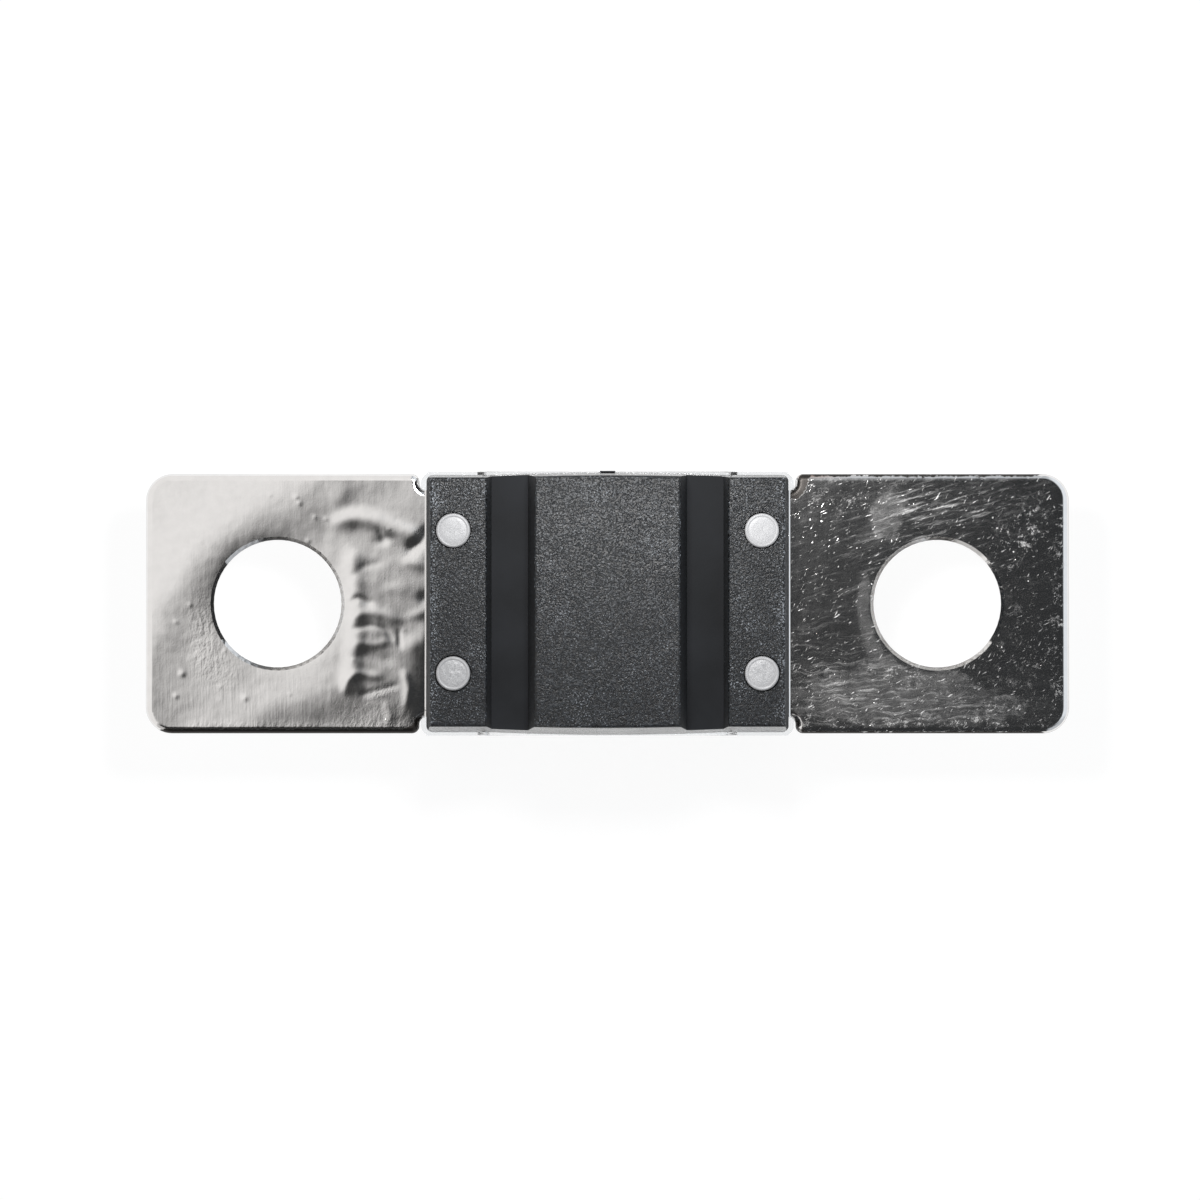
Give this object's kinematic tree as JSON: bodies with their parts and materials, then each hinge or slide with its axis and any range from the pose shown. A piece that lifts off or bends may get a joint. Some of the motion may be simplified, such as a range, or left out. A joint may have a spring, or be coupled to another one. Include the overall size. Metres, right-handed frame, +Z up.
{
  "type": "bolt-down strip fuse",
  "caption": "Bolt-down strip fuse: flat tin-plated strip with a stud hole in each blade, clamped in a black moulded housing with a clear cover.",
  "frame": {"origin": "middle of the cover's flat outer face, which the fuse rests on", "axes": "+X along the strip from stud hole to stud hole, +Y across the strip, +Z up from the clear cover to the black base"},
  "size_m": [0.042, 0.012, 0.009],
  "materials": {
    "strip": "polished",
    "base": "matte",
    "cover": "clear",
    "pill": "satin"
  },
  "bodies": {
    "root": {"fuse_strip": "strip", "base": "base", "cover": "cover", "tin_pill": "pill"}
  },
  "joints": []
}
